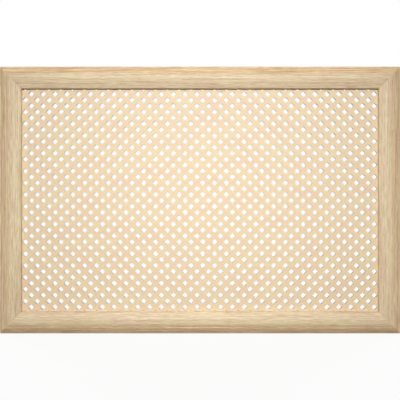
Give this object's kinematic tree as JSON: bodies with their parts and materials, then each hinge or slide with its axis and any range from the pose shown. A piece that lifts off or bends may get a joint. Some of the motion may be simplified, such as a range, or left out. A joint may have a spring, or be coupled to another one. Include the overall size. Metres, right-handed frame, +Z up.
{
  "type": "radiator screen",
  "caption": "Flat radiator screen: mitred oak-film moulding frame round a diamond-perforated sheet, with hooks and spacers behind to hang it on a radiator.",
  "frame": {"origin": "middle of the frame's flat bottom edge, 4 mm deep from front to back", "axes": "+Z up, the moulded front faces -Y, the hooks point to +Y, +X to the right of a viewer in front"},
  "size_m": [0.9, 0.081, 0.6],
  "materials": {
    "frame_oak_film": "satin",
    "sheet_oak_film": "matte",
    "bracket_zinc": "satin",
    "screw_zinc": "satin",
    "nail_steel": "satin",
    "pad_rubber": "matte"
  },
  "bodies": {
    "root": {"bottom_rail": "frame_oak_film", "corner_nails_bottom_left": "nail_steel", "corner_nails_bottom_right": "nail_steel", "corner_nails_top_left": "nail_steel", "corner_nails_top_right": "nail_steel", "hook_left": "bracket_zinc", "hook_pad_left": "pad_rubber", "hook_pad_right": "pad_rubber", "hook_right": "bracket_zinc", "hook_screws_left": "screw_zinc", "hook_screws_right": "screw_zinc", "left_stile": "frame_oak_film", "perforated_panel": "sheet_oak_film", "right_stile": "frame_oak_film", "spacer_left": "bracket_zinc", "spacer_pad_left": "pad_rubber", "spacer_pad_right": "pad_rubber", "spacer_right": "bracket_zinc", "spacer_screws_left": "screw_zinc", "spacer_screws_right": "screw_zinc", "top_rail": "frame_oak_film"}
  },
  "joints": []
}
